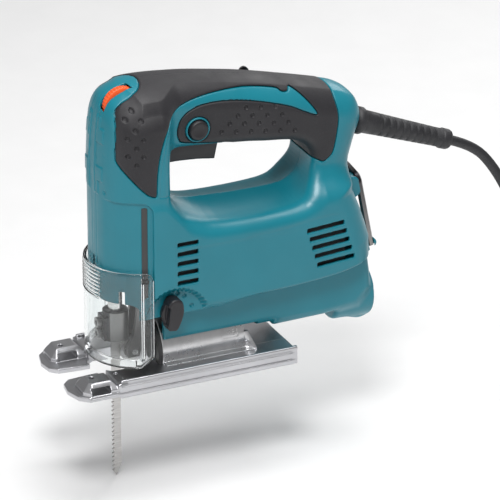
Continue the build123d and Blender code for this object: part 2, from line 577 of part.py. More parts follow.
with BuildPart() as bevel_bolt:
    drum_z(BOLT_X, 0, (25, 44), 3)
    drum_z(BOLT_X, 0, (25, 29.6), 5)
    with BuildSketch(Plane.XY.offset(24.9)):
        with Locations((BOLT_X, 0)):
            RegularPolygon(2.5, 6)
    extrude(amount=3, mode=Mode.SUBTRACT)
save(bevel_bolt, "bevel_bolt")

# ---- Screws that hold the halves, heads on the right ----
with BuildPart() as housing_screws:
    screw_bodies(0)
save(housing_screws, "housing_screws")

# ---- Hex key and its clip, at the back ----
KEY_LOW, KEY_HIGH, KEY_Y = (-175, 0, 55), (-165.4, 0, 104), 5
with BuildPart() as hex_key:
    with BuildLine() as key_line:
        FilletPolyline((KEY_LOW[0], KEY_Y, KEY_LOW[2]), (KEY_HIGH[0], KEY_Y, KEY_HIGH[2]),
                       (KEY_HIGH[0] + 1, KEY_Y - 15, KEY_HIGH[2] + 3), radius=5)
    with BuildSketch(Plane(origin=key_line.line @ 0, z_dir=key_line.line % 0)):
        RegularPolygon(2.3, 6)
    sweep()
save(hex_key, "hex_key")

with BuildPart() as key_clip:
    for low, high in ((60, 66), (86, 92)):
        x_key = KEY_LOW[0] + (KEY_HIGH[0] - KEY_LOW[0]) * ((low + high) / 2 - KEY_LOW[2]) / 49
        back = -164.2 if low < 80 else -158.8
        for side in (-1, 1):
            block((x_key - 2, back), (KEY_Y + side * 4 - 1.2, KEY_Y + side * 4 + 1.2), (low, high))
save(key_clip, "key_clip")

# ---- Cord: guard, clamp, tube, coil, tie and plug ----
with BuildPart() as cord_guard:
    with BuildSketch(guard_plane):
        with BuildLine():
            Polyline((-7, 0), (GUARD_LEN, 0), (GUARD_LEN, 6.6), (GUARD_LEN - 6, 6.8), (GUARD_LEN - 8, 5.4),
                     (3, 7.4), (2.6, 5.5), (-3.2, 5.5), (-3.2, 9), (-7, 9), close=True)
        make_face()
    revolve(axis=guard_axis)
save(cord_guard, "cord_guard")

with BuildPart() as cord_clamp:
    block((-148, -138), (-13, 13), (152, 155.5))
save(cord_clamp, "cord_clamp")

with BuildPart() as cord_coil:
    with BuildSketch(Plane.XZ.offset(-COIL_AT[1])):
        with Locations((COIL_AT[0] + COIL_R, FLOOR_Z + COIL_H / 2)):
            RectangleRounded(2 * COIL_HALF_W, COIL_H, 6)
    revolve(axis=Axis((*COIL_AT, 0), (0, 0, 1)))
save(cord_coil, "cord_coil")

guard_end = guard_plane.origin + guard_dir * GUARD_LEN
floor_line = FLOOR_Z + CORD_R
CORD_ROUTE = [tuple(guard_end), (-249.5, 0, 109), (-264.8, 1.2, 91.5), (-277, 7.5, 65), (-286, 17, 38),
              (-292.5, 24.5, 8), (-299.6, 28, -24.5), (-310.2, 28.5, -49.2), (-328, 27.8, -65.2),
              (-351, 26.2, floor_line), (-372, 26, floor_line)]
TAIL_ROUTE = [(-372, -46, floor_line), (-351, -45.5, floor_line), (-329, -37, floor_line),
              (-311, -22, floor_line)]


def corner_radii(route):
    """Each corner's arc: 0.45 of its shorter run, over the tangent of half its turn."""
    radii = []
    for before, at, after in zip(route, route[1:], route[2:]):
        first, second = Vector(*at) - Vector(*before), Vector(*after) - Vector(*at)
        half_turn = radians(first.get_angle(second)) / 2
        radii.append(0.45 * min(first.length, second.length) / tan(half_turn))
    return radii


with BuildPart() as cord:
    for route in (CORD_ROUTE, TAIL_ROUTE):
        bend_radii = corner_radii(route)
        print("cord arc radii", [round(r, 1) for r in bend_radii])
        with BuildLine() as path:
            FilletPolyline(*route, radius=bend_radii)
        with BuildSketch(Plane(origin=path.line @ 0, z_dir=path.line % 0)):
            Circle(CORD_R)
        sweep(path=path.line)
        print("tube length", round(path.wires()[0].length, 1))
    print("cord volume over section", round(cord.part.volume / (pi * CORD_R ** 2), 1))
    add(cord_coil.part, mode=Mode.SUBTRACT)
save(cord, "cord")

with BuildPart() as cord_tie:
    with BuildSketch(Plane.XZ.offset(-COIL_AT[1])):
        with Locations((COIL_AT[0] - COIL_R, FLOOR_Z + COIL_H / 2 + 0.4)):
            RectangleRounded(2 * COIL_HALF_W + 2.6, COIL_H + 0.8, 6.5)
            RectangleRounded(2 * COIL_HALF_W, COIL_H - 0.8, 6, mode=Mode.SUBTRACT)
    extrude(amount=4, both=True)
    add(cord_coil.part, mode=Mode.SUBTRACT)
save(cord_tie, "cord_tie")

plug_heading = Vector(*TAIL_ROUTE[-1]) - Vector(*TAIL_ROUTE[-2])
plug_plane = Plane(origin=TAIL_ROUTE[-1], x_dir=plug_heading, z_dir=(0, 0, 1))
with BuildPart() as plug:
    with BuildSketch(plug_plane):
        with BuildLine():
            Polyline((0, -5), (16, -6.5), (26, -13), (38, -13), (38, 13), (26, 13), (16, 6.5), (0, 5),
                     close=True)
        make_face()
    extrude(amount=CORD_R + 8.5)
    extrude(plug.faces().sort_by(Axis.Z)[0], amount=CORD_R - 0.3)
save(plug, "plug")

with BuildPart() as plug_pins:
    for side in (-1, 1):
        root = plug_plane.from_local_coords((38, side * 9.5, 3))
        with BuildSketch(Plane(origin=root, z_dir=plug_plane.x_dir)):
            Circle(2.4)
        extrude(amount=19)
save(plug_pins, "plug_pins")
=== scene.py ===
"""The looks of a corded jigsaw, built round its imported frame.

The rounded shells are worked out as distance fields: a field is an array that is negative inside the
piece, in millimetres, and skin() turns it into a mesh. Everything else is in metres.
"""
import json
from math import cos, pi, radians, sin

import bpy
import numpy as np
import openvdb
from mathutils import Matrix, Vector


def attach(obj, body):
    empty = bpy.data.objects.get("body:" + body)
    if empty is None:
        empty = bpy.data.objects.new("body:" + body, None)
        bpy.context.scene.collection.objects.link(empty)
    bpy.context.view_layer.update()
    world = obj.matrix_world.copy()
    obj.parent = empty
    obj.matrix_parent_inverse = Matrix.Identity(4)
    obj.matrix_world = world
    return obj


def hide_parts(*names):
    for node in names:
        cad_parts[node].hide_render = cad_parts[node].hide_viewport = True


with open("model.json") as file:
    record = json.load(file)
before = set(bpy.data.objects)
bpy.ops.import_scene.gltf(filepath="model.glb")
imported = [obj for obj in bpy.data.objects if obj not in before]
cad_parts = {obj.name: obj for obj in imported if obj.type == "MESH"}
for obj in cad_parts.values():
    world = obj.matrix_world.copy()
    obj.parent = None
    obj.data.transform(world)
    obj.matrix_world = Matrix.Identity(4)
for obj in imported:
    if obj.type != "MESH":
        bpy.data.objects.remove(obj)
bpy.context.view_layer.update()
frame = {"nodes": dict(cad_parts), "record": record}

MM = 0.001
FINE = 0.62      # grid step of the housing, in mm

# ---- Driving places, in mm, as the frame has them ----
HEAD_X, HEAD_R = -15.5, 32.4            # axis and radius of the round head
PANEL_R = 31.0                          # the recessed lower panel that the shield slides on
STEP_Z = 124.5                          # top of that panel
HANDLE_HALF, BODY_HALF = 21, 33
SIDE_Y = BODY_HALF + 0.55               # the flat of the sides
PIVOT_Z = 14                            # height of the bevel axis
ARCH_R = 21.8
LEVER = (-25.5, 46)
WELL = (-27.8, 40.6)                    # middle of the hollow round the orbit knob
LOCK = (-47.9, 163)
DIAL, DIAL_R = (-3.5, 181.5), 12.1
GUARD, GUARD_TILT = (-166, 0, 141), radians(21)
FLOOR = -75.5
CORD_R = 3.25
COIL, COIL_MIDDLE_R = (-375, -10), 36.2
WALL = 2.7                              # thickness of the moulding
GRIP_DEPTH = 1.7                        # depth of the seat of the soft grips
VENT_COUNT, VENT_HALF = 5, 1.6
SHADE_SHEET_Y = 28.5                         # depth of the vents, where the black sheets of painted shade stand


# ---- Camera, floor and light ----
def camera_and_light():
    """The long lens looks down on the left front of the tool."""
    turn, lift, distance = radians(24.5), radians(24.6), 2.708
    back = Vector((sin(turn) * cos(lift), cos(turn) * cos(lift), sin(lift)))
    right = Vector((-cos(turn), sin(turn), 0))
    up = back.cross(right)
    camera = bpy.data.objects.new("camera", bpy.data.cameras.new("camera"))
    axes = Matrix((right, up, back)).transposed().to_4x4()
    camera.matrix_world = Matrix.Translation(back * distance + right * 0.0844 + up * 0.0746) @ axes
    camera.data.lens, camera.data.sensor_width = 309.6, 36
    camera.data.clip_end = 20
    bpy.context.scene.collection.objects.link(camera)
    bpy.context.scene.camera = camera
    bpy.context.scene.view_settings.view_transform = "Standard"

    world = bpy.data.worlds.new("studio")
    world.use_nodes = True
    world.node_tree.nodes["Background"].inputs["Color"].default_value = (1, 1, 1, 1)
    world.node_tree.nodes["Background"].inputs["Strength"].default_value = 0.28
    bpy.context.scene.world = world

    aim = Vector((-0.08, 0, 0.08))
    lamps = (("key", (0.35, 0.75, 1.3), 0.4, 12.5), ("top", (-0.25, 0.1, 1.4), 0.8, 11),
             ("rim", (-0.9, -0.7, 0.7), 0.6, 3), ("front", (1.1, 0.25, 0.25), 0.5, 1.2))
    for name, place, size, power in lamps:
        lamp = bpy.data.objects.new(name, bpy.data.lights.new(name, "AREA"))
        lamp.data.size, lamp.data.energy = size, power
        lamp.location = place
        lamp.rotation_euler = (aim - Vector(place)).to_track_quat("-Z", "Y").to_euler()
        bpy.context.scene.collection.objects.link(lamp)

    half = 6
    corners = [(-half, -half, 0), (half, -half, 0), (half, half, 0), (-half, half, 0)]
    floor = bpy.data.objects.new("floor", bpy.data.meshes.new("floor"))
    floor.data.from_pydata([(x, y, FLOOR * MM) for x, y, z in corners], [], [(0, 1, 2, 3)])
    floor.data.materials.append(surface("pale_floor", (0.93, 0.93, 0.93), 0.7, spread=0.01, depth=0))
    bpy.context.scene.collection.objects.link(floor)


# ---- Materials ----
def link(tree, source, target):
    tree.links.new(source, target)


def noise(tree, scale, detail=3, stretch=(1, 1, 1)):
    """Noise laid in the piece's own space, its scale in waves per metre."""
    place = tree.nodes.new("ShaderNodeTexCoord")
    mapping = tree.nodes.new("ShaderNodeMapping")
    mapping.inputs["Scale"].default_value = stretch
    texture = tree.nodes.new("ShaderNodeTexNoise")
    texture.inputs["Scale"].default_value = scale
    texture.inputs["Detail"].default_value = detail
    link(tree, place.outputs["Object"], mapping.inputs["Vector"])
    link(tree, mapping.outputs["Vector"], texture.inputs["Vector"])
    return texture.outputs["Fac"]


def spread_over(tree, value, low, high, start=0.3, stop=0.7):
    """value, from start to stop, carried over to low ... high."""
    node = tree.nodes.new("ShaderNodeMapRange")
    link(tree, value, node.inputs["Value"])
    for socket, number in (("From Min", start), ("From Max", stop), ("To Min", low), ("To Max", high)):
        node.inputs[socket].default_value = number
    return node.outputs["Result"]


def mixed(tree, share, first, second):
    """Two colours mixed by a share: each is a colour or another node's output."""
    node = tree.nodes.new("ShaderNodeMix")
    node.data_type = "RGBA"
    link(tree, share, node.inputs["Factor"])
    sockets = [socket for socket in node.inputs if socket.type == "RGBA"]
    for socket, colour in zip(sockets, (first, second)):
        if isinstance(colour, tuple):
            socket.default_value = (*colour, 1)
        else:
            link(tree, colour, socket)
    return next(output for output in node.outputs if output.type == "RGBA")


def surface(name, colour, roughness, metallic=0, spread=0.06, patch=30, grain=1400, depth=2e-5,
            stretch=(1, 1, 1), smudge=0.06, wear=None, wear_from=0.53, speck=None, **constants):
    """A material with uneven tint, uneven gloss, a moulded or brushed grain and worn edges."""
    material = bpy.data.materials.new(name)
    material.use_nodes = True
    tree = material.node_tree
    shader = tree.nodes["Principled BSDF"]
    dark = tuple(c * (1 - spread) for c in colour)
    light = tuple(min(1, c * (1 + spread)) for c in colour)
    tint = mixed(tree, spread_over(tree, noise(tree, patch, 4, stretch), 0, 1), dark, light)
    if speck:
        dots = spread_over(tree, noise(tree, grain * 0.6, 2), 0, 1, 0.58, 0.66)
        tint = mixed(tree, dots, tint, speck)
    if wear:
        geometry = tree.nodes.new("ShaderNodeNewGeometry")
        edge = spread_over(tree, geometry.outputs["Pointiness"], 0, 0.6, wear_from, wear_from + 0.08)
        tint = mixed(tree, edge, tint, wear)
    link(tree, tint, shader.inputs["Base Color"])
    gloss = spread_over(tree, noise(tree, patch * 2.3, 5), roughness - smudge, roughness + smudge)
    link(tree, gloss, shader.inputs["Roughness"])
    shader.inputs["Metallic"].default_value = metallic
    for socket, number in constants.items():
        shader.inputs[socket.replace("_", " ")].default_value = number
    if depth:
        bump = tree.nodes.new("ShaderNodeBump")
        bump.inputs["Distance"].default_value = depth
        bump.inputs["Strength"].default_value = 1.0
        link(tree, noise(tree, grain, 3, stretch), bump.inputs["Height"])
        link(tree, bump.outputs["Normal"], shader.inputs["Normal"])
    return material


def make_materials():
    """One material for each slot of the record."""
    made = {
        "teal_housing": surface("teal_plastic", (0.005, 0.19, 0.25), 0.34, spread=0.05, depth=1.6e-5,
                                grain=1700, wear=(0.03, 0.32, 0.38), wear_from=0.56),
        "soft_grip": surface("charcoal_elastomer", (0.0135, 0.0125, 0.0155), 0.55, spread=0.12, grain=2600,
                             depth=3e-5, speck=(0.022, 0.021, 0.025), smudge=0.09, Sheen_Weight=0.08,
                             Sheen_Roughness=0.5),
        "black_plastic": surface("black_plastic", (0.014, 0.013, 0.016), 0.42, spread=0.12, depth=2e-5,
                                 wear=(0.07, 0.07, 0.07), wear_from=0.57),
        "orange_plastic": surface("orange_plastic", (0.9, 0.11, 0.018), 0.4, spread=0.07, depth=1.5e-5,
                                  wear=(1.0, 0.3, 0.12), wear_from=0.55),
        "clear_cover": clear_plastic(),
        "cast_aluminium": surface("cast_aluminium", (0.52, 0.52, 0.54), 0.34, metallic=1, spread=0.06,
                                  patch=40, grain=1500, depth=1.2e-5, wear=(0.8, 0.8, 0.82),
                                  wear_from=0.56),
        "bright_steel": surface("bright_steel", (0.66, 0.65, 0.64), 0.26, metallic=1, spread=0.07,
                                patch=50, grain=700, depth=1.2e-5, stretch=(1, 1, 6)),
        "dark_steel": surface("blued_steel", (0.040, 0.038, 0.042), 0.34, metallic=0.9, spread=0.15,
                              patch=80, depth=2e-5, wear=(0.4, 0.39, 0.38), wear_from=0.56),
        "blade_steel": surface("saw_steel", (0.50, 0.49, 0.48), 0.34, metallic=1, spread=0.14,
                               patch=90, grain=600, depth=2.5e-5, stretch=(1, 1, 9)),
        "laminated_steel": surface("laminated_steel", (0.28, 0.27, 0.27), 0.45, metallic=1, spread=0.1,
                                   grain=1200, depth=4e-5, stretch=(9, 1, 1)),
        "copper_wire": surface("enamelled_copper", (0.55, 0.16, 0.06), 0.3, metallic=1, spread=0.15,
                               grain=1500, depth=8e-5, stretch=(1, 5, 5)),
        "brass_parts": surface("brass", (0.62, 0.42, 0.16), 0.32, metallic=1, spread=0.1, depth=2e-5),
        "carbon": surface("brush_carbon", (0.03, 0.03, 0.032), 0.5, spread=0.2, depth=2e-5),
        "grey_nylon": surface("grey_nylon", (0.20, 0.20, 0.21), 0.5, spread=0.06, depth=2e-5),
        "cord_rubber": surface("cord_rubber", (0.020, 0.020, 0.023), 0.5, spread=0.18, patch=60,
                               grain=2200, depth=3e-5, smudge=0.1, speck=(0.035, 0.035, 0.038)),
    }
    made["bright_cast"] = surface("machined_aluminium", (0.70, 0.70, 0.71), 0.3, metallic=1, spread=0.05,
                                  patch=45, grain=900, depth=1.2e-5, stretch=(4, 1, 1),
                                  wear=(0.95, 0.95, 0.95), wear_from=0.55)
    return made


def clear_plastic():
    """Clear polycarbonate with a faint smoke tint and fine scuffs in its gloss."""
    material = bpy.data.materials.new("clear_polycarbonate")
    material.use_nodes = True
    tree = material.node_tree
    shader = tree.nodes["Principled BSDF"]
    shader.inputs["Base Color"].default_value = (0.93, 0.96, 0.96, 1)
    shader.inputs["Transmission Weight"].default_value = 1.0
    shader.inputs["IOR"].default_value = 1.45
    scuffs = spread_over(tree, noise(tree, 260, 6, (1, 1, 0.3)), 0.0, 0.06, 0.5, 0.85)
    link(tree, scuffs, shader.inputs["Roughness"])
    return material


# ---- Distance fields ----
class Grid:
    """The points of a box, in mm, as three arrays that broadcast to the whole box."""

    def __init__(self, low, high, step):
        self.low, self.step = np.array(low, float), step
        x, y, z = (np.arange(a, b + step, step).astype(np.float32) for a, b in zip(low, high))
        self.x, self.y, self.z = x[:, None, None], y[None, :, None], z[None, None, :]


def both(a, b, r=0.0):
    """What a and b share, its new edge rounded to r."""
    if not r:
        return np.maximum(a, b)
    rounded = np.sqrt(np.maximum(a + r, 0) ** 2 + np.maximum(b + r, 0) ** 2)
    return np.minimum(-r, np.maximum(a, b)) + rounded


def either(a, b, r=0.0):
    """a and b together, the corner between them filled to r."""
    return -both(-a, -b, r)


def without(a, b, r=0.0):
    """a with b cut away, the new edge rounded to r."""
    return both(a, -b, r)


def box(g, x, y, z, r=0.0):
    """A box between (low, high) pairs, its edges rounded to r."""
    def side(at, ends):
        return np.abs(at - sum(ends) / 2) - (ends[1] - ends[0]) / 2
    return both(both(side(g.x, x), side(g.y, y), r), side(g.z, z), r)


def rod(u, v, at, r):
    """A round bar through the point `at` of the plane (u, v)."""
    return np.sqrt((u - at[0]) ** 2 + (v - at[1]) ** 2) - r


def curve(points, closed=True, steps=6):
    """A smooth line through the points."""
    count = len(points)
    line = []
    for i in range(count if closed else count - 1):
        four = [points[(i + k) % count] if closed else points[min(max(i + k, 0), count - 1)]
                for k in (-1, 0, 1, 2)]
        p, q, r, s = (np.array(point, float) for point in four)
        for t in np.arange(steps) / steps:
            line.append(tuple(0.5 * (2 * q + (r - p) * t + (2 * p - 5 * q + 4 * r - s) * t * t
                                     + (3 * q - p - 3 * r + s) * t ** 3)))
    return line if closed else line + [tuple(points[-1])]


def outline(points, u, v):
    """Distance to a closed outline in the plane (u, v), negative inside."""
    u, v = np.broadcast_arrays(u, v)
    nearest = np.full(u.shape, 1e9, np.float32)
    inside = np.zeros(u.shape, bool)
    for (a, b), (c, d) in zip(points, list(points[1:]) + [points[0]]):
        du, dv = c - a, d - b
        length = du * du + dv * dv
        if length < 1e-9:
            continue
        t = np.clip(((u - a) * du + (v - b) * dv) / length, 0, 1)
        nearest = np.minimum(nearest, (u - a - t * du) ** 2 + (v - b - t * dv) ** 2)
        if dv:
            inside ^= ((b > v) != (d > v)) & (u < a + (v - b) * du / dv)
    return np.where(inside, -1, 1) * np.sqrt(nearest)


def sagged(sheet, g, drop):
    """A field of X and Z alone, lowered by drop, which goes by Y."""
    flat = sheet[:, 0, :]
    lifted = np.arange(flat.shape[1])[None, :] + drop[0] / g.step
    low = np.clip(lifted.astype(int), 0, flat.shape[1] - 2)
    part = (lifted - low).astype(np.float32)
    return flat[:, low] * (1 - part) + flat[:, low + 1] * part


def smooth_step(value, low, high):
    """0 below low, 1 above high, and a smooth ramp between."""
    t = np.clip((value - low) / (high - low), 0, 1)
    return t * t * (3 - 2 * t)


def sampled(field, at):
    """The field read between its grid points, at fractional indices."""
    at = np.clip(at, 0, np.array(field.shape) - 1.001)
    base = at.astype(int)
    part = at - base
    total = 0
    for corner in np.ndindex(2, 2, 2):
        weight = np.prod(np.where(corner, part, 1 - part), axis=1)
        total = total + weight * field[tuple((base + corner).T)]
    return total


def skin(name, field, g, material, body, replaces=(), mirror=False, faces=120000):
    """The mesh of a field, with normals read from the field itself."""
    field = np.ascontiguousarray(np.broadcast_to(
        field, np.broadcast_shapes(g.x.shape, g.y.shape, g.z.shape)), dtype=np.float32)
    volume = openvdb.FloatGrid(3.0)
    volume.copyFromArray(np.clip(field, -3, 3))
    points, triangles, quads = volume.convertToPolygons(0.0, 0.0)
    polygons = np.concatenate((triangles, quads[:, [0, 1, 2]], quads[:, [0, 2, 3]]))
    mesh = triangle_mesh(name, (points * g.step + g.low) * MM, polygons)
    piece = bpy.data.objects.new(name, mesh)
    bpy.context.scene.collection.objects.link(piece)
    if len(polygons) > faces:
        thin = piece.modifiers.new("thin", "DECIMATE")
        thin.ratio = faces / len(polygons)
        shown = piece.evaluated_get(bpy.context.evaluated_depsgraph_get())
        piece.data = bpy.data.meshes.new_from_object(shown)
        piece.modifiers.clear()
    mesh = piece.data
    places = np.empty(len(mesh.vertices) * 3)
    mesh.vertices.foreach_get("co", places)
    at = (places.reshape(-1, 3) / MM - g.low) / g.step
    slope = np.stack([sampled(field, at + shift) - sampled(field, at - shift)
                      for shift in np.eye(3) * 0.6], axis=1)
    slope /= np.maximum(np.linalg.norm(slope, axis=1, keepdims=True), 1e-6)
    if mirror:
        mesh.transform(Matrix.Scale(-1, 4, (0, 1, 0)))
        mesh.flip_normals()
        slope[:, 1] *= -1
    mesh.polygons.foreach_set("use_smooth", [True] * len(mesh.polygons))
    mesh.normals_split_custom_set_from_vertices(slope.tolist())
    return placed(piece, material, body, replaces)


def painted_shade_strips(paint):
    """Black pieces of painted shade: strips at the bottom of the shield's tracks, and sheets behind the
    vents, where those hollows fall into shadow.
    """
    # Painted shade: these black pieces stand where the slots and the vents are dark only from shadow.
    strips = {"track_painted_shade": ((-9.9, -6.1), (28.9, 29.75), (58, 121)),
              "front_vent_painted_shade": ((-44, -27.6), (28.5, 28.9), (65.2, 96.5)),
              "rear_vent_painted_shade": ((-145.5, -115.5), (28.5, 28.9), (59, 90.5))}
    for kind, side, name in [(kind, *pair) for kind in strips for pair in ((1, "left"), (-1, "right"))]:
        mesh = bpy.data.meshes.new(f"{kind}_{name}")
        spans = strips[kind]
        corners = [(x * MM, side * y * MM, z * MM) for x in spans[0] for y in spans[1] for z in spans[2]]
        mesh.from_pydata(corners, [], [(0, 1, 3, 2), (4, 6, 7, 5), (0, 4, 5, 1), (2, 3, 7, 6), (0, 2, 6, 4),
                                       (1, 5, 7, 3)])
        piece = bpy.data.objects.new(f"{kind}_{name}", mesh)
        bpy.context.scene.collection.objects.link(piece)
        placed(piece, paint["black_plastic"], "housing")


def triangle_mesh(name, points, triangles):
    """A mesh from arrays of points in metres and of corner numbers."""
    mesh = bpy.data.meshes.new(name)
    mesh.vertices.add(len(points))
    mesh.vertices.foreach_set("co", np.asarray(points, np.float32).ravel())
    mesh.loops.add(triangles.size)
    mesh.loops.foreach_set("vertex_index", triangles.ravel().astype(np.int32))
    mesh.polygons.add(len(triangles))
    mesh.polygons.foreach_set("loop_start", np.arange(0, triangles.size, 3, dtype=np.int32))
    mesh.update(calc_edges=True)
    return mesh


def placed(piece, material, body, replaces=()):
    """Gives a piece its material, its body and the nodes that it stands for."""
    piece.data.materials.clear()
    piece.data.materials.append(material)
    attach(piece, body)
    if replaces:
        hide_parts(*replaces)
    return piece


# ---- Cord, guard and plug ----
ROUTE = [(-231.8, 0, 115.7), (-249.5, 0, 109), (-264.8, 1.2, 91.5), (-277, 7.5, 65), (-286, 17, 38),
         (-292.5, 24.5, 8), (-299.6, 28.5, -24.5), (-310.2, 30, -49.2), (-328, 31.5, -65.2),
         (-351, 32.6, FLOOR + CORD_R)]
TAIL = [(-351, -54.5, FLOOR + CORD_R + 9), (-336, -45.5, FLOOR + CORD_R + 1), (-321.5, -36.4, FLOOR + CORD_R),
        (-311, -22, FLOOR + CORD_R)]


def coil_points():
    """Nine and a half turns, laid in three layers of three; the last passes over the others and out.

    A turn keeps to its place in the ring until its shift, over an eighth of a turn, to the next
    place. Each layer's shifts come before those of the layer under it, so no two turns meet.
    """
    pitch, rise, per_turn = 6.9, 6.6, 16
    columns = (1, 0, -1, -1, 0, 1, 1, 0, -1)
    layers = (0, 0, 0, 1, 1, 1, 2, 2, 2)
    shifts = (-45, -45, -85, -125, -125, -165, -205, -205)
    starts = [360 * (k + 1) + shift for k, shift in enumerate(shifts)]
    marks = [start + part for start in starts for part in (0, 40)]
    lift_off, ramp, total = 360 * 9 - 245, 60, 360 * 9.5
    points = []
    for step in range(int(9.5 * per_turn) + 1):
        turned = 360 * step / per_turn
        column = np.interp(turned, marks, [c for pair in zip(columns, columns[1:]) for c in pair])
        layer = np.interp(turned, marks, [c for pair in zip(layers, layers[1:]) for c in pair])
        if turned > lift_off:
            layer = 2 + min(1, (turned - lift_off) / ramp)
            column = -1 + 3.05 * max(0, (turned - lift_off - ramp) / (total - lift_off - ramp))
        if turned > total - ramp:
            layer = 3 - 0.9 * (turned - total + ramp) / ramp
        radius = COIL_MIDDLE_R + column * pitch
        angle = radians(90 + turned)
        points.append((COIL[0] + radius * cos(angle), COIL[1] + radius * sin(angle),
                       FLOOR + CORD_R + layer * rise))
    return points


def smooth_curve(name, points, radius):
    """One NURBS spline through metres, round in section."""
    data = bpy.data.curves.new(name, "CURVE")
    data.dimensions = "3D"
    spline = data.splines.new("NURBS")
    spline.points.add(len(points) - 1)
    for point, place in zip(spline.points, points):
        point.co = (*(c * MM for c in place), 1)
    spline.order_u = 3
    spline.use_endpoint_u = True
    spline.resolution_u = 6
    data.bevel_depth = radius * MM
    data.bevel_resolution = 5
    data.use_fill_caps = True
    piece = bpy.data.objects.new(name, data)
    bpy.context.scene.collection.objects.link(piece)
    return piece


def lathe(name, profile, origin, axis, turns=48, wobble=None):
    """A closed surface of revolution. profile is (along, radius) pairs in mm, from end to end."""
    axis = Vector(axis).normalized()
    side = axis.orthogonal().normalized()
    other = axis.cross(side)
    rings = []
    for along, radius in profile:
        for k in range(turns):
            angle = 2 * pi * k / turns
            r = radius + (wobble(along, angle) if wobble else 0)
            rings.append((Vector(origin) + axis * along + (side * cos(angle) + other * sin(angle)) * r) * MM)
    faces = []
    for ring in range(len(profile) - 1):
        for k in range(turns):
            a, b = ring * turns + k, ring * turns + (k + 1) % turns
            faces.append((a, b, b + turns, a + turns))
    faces.append(tuple(reversed(range(turns))))
    last = (len(profile) - 1) * turns
    faces.append(tuple(range(last, last + turns)))
    mesh = bpy.data.meshes.new(name)
    mesh.from_pydata(rings, [], faces)
    mesh.polygons.foreach_set("use_smooth", [True] * (len(faces) - 2) + [False] * 2)
    mesh.validate()
    piece = bpy.data.objects.new(name, mesh)
    bpy.context.scene.collection.objects.link(piece)
    return piece


def guard(paint):
    """The tapered strain relief: a collar, a slim ribbed sleeve and a ring at its mouth."""
    ribs = []
    for k in range(9):
        along = 16 + 5.2 * k
        radius = 7.2 - 0.024 * (along - 14)
        ribs += [(along, radius), (along + 0.4, radius - 0.35), (along + 1.2, radius - 0.35),
                 (along + 1.6, radius - 0.03)]
    profile = [(-3, 5), (-2.6, 8.8), (3, 8.8), (4, 8.3), (5, 7.5), (12, 7.3)] + ribs
    profile += [(63.5, 6.1), (64, 6.4), (64.4, 6.7), (69, 6.6), (70.2, 6.1), (70.5, 5.2), (70.5, 3.3),
                (66, 3.3)]
    direction = (-cos(GUARD_TILT), 0, -sin(GUARD_TILT))
    piece = lathe("cord_guard_sleeve", profile, GUARD, direction)
    return placed(piece, paint["cord_rubber"], "housing", ["cord_guard"])


def plug(paint):
    """A flat two-pin moulded plug with finger hollows and a short ribbed neck, and its pins."""
    end = Vector(TAIL[-1])
    heading = (end - Vector(TAIL[-2])).normalized()
    across = Vector((-heading.y, heading.x, 0))
    g = Grid((-3, -16, -4), (41, 16, 14), 0.5)
    lower, upper = -CORD_R + 0.3, 8.5
    plan = outline(curve([(0, -4.6), (9, -4.9), (16, -6.8), (21, -10.8), (27, -12.9), (37.7, -12.9),
                          (37.7, 12.9), (27, 12.9), (21, 10.8), (16, 6.8), (9, 4.9), (0, 4.6)], steps=4),
                   g.x, g.y)
    plan = both(plan, g.x - 38, 0.6)
    height = 3.1 + 2.6 * smooth_step(g.x, 8, 24)
    middle = (lower + upper) / 2
    body = both(both(plan, np.abs(g.z - middle) - height, 2.2), -g.x, 0.8)
    for k in range(1, 4):
        body = without(body, np.abs(g.x - 3 - 3.2 * k) - 0.5, 0.3)
    for side in (-1, 1):
        hollow = np.sqrt((g.x - 29) ** 2 + (g.y - side * 17) ** 2 + (g.z - middle) ** 2) - 8
        body = without(body, hollow, 1)
    body = either(body, rod(g.y, g.z, (0, 0), 4.4) + 60 * np.clip(np.abs(g.x - 8) - 8, 0, 1), 0.5)
    piece = skin("plug_moulding", body, g, paint["cord_rubber"], "housing", faces=40000)
    piece.data.transform(Matrix.Translation(end * MM) @
                         Matrix((heading, across, Vector((0, 0, 1)))).transposed().to_4x4())
    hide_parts("plug")
    pins = bpy.data.objects.new("plug_contacts", frame["nodes"]["plug_pins"].data.copy())
    bpy.context.scene.collection.objects.link(pins)
    turn = Matrix.Rotation(heading.to_2d().angle_signed(Vector((18, 15))), 4, "Z")
    pins.data.transform(Matrix.Translation(end * MM) @ turn @ Matrix.Translation(-end * MM))
    return piece, placed(pins, paint["brass_parts"], "housing", ["plug_pins"])


def cord(paint):
    """The mains lead: out of the guard, down to the floor, into its coil and out to the plug."""
    coil = coil_points()
    lead = smooth_curve("mains_cord", ROUTE + coil + TAIL, CORD_R)
    lead.data.materials.append(paint["cord_rubber"])
    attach(lead, "housing")
    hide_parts("cord", "cord_coil")
    moulding, pins = plug(paint)


# ---- Housing ----
CREST = [(-118, 109), (-106, 108.1), (-90, 107.8), (-68, 108.5), (-46, 110.3), (-30, 116)]
RIDGE = [(-132, 108), (-121, 101.5), (-102, 99), (-58, 98.5), (-44, 101.5), (-36, 106), (-29, 114),
         (-18, 118)]
CREASE = [(-158, 57), (-141, 52.4), (-110, 49.3), (-77, 47.5), (-58, 42.5), (-50, 33), (-44, 15)]
TOP_LINE = [(17.2, 50), (17.2, 124), (17.7, 140), (17, 152), (14.2, 171), (10.8, 182.5), (3.5, 190.5),
            (-12, 195), (-42, 193.4), (-69, 189.3), (-96, 183.9), (-137.7, 173.2), (-153, 168.2),
            (-161.2, 161), (-164.7, 149), (-160.8, 136), (-155.6, 118)]
SILHOUETTE = curve(TOP_LINE, closed=False) + [(-155, 104), (-150, 90), (-100, 50)]
PROFILE = curve(TOP_LINE + [(-155, 104)], closed=False) + [
    (-160.7, 90), (-164.4, 79), (-167, 70), (-167.4, 52), (-168.6, 44), (-180, 36), (-180, 0), (17.2, 0)]
WINDOW = [(-25.3, 150), (-25.3, 128), (-30, 112), (-60, 100), (-110, 100), (-122.5, 112),
          (-127.6, 127), (-124.5, 136.5), (-114, 142.8), (-95, 145.5), (-78, 147.8), (-40, 151)]
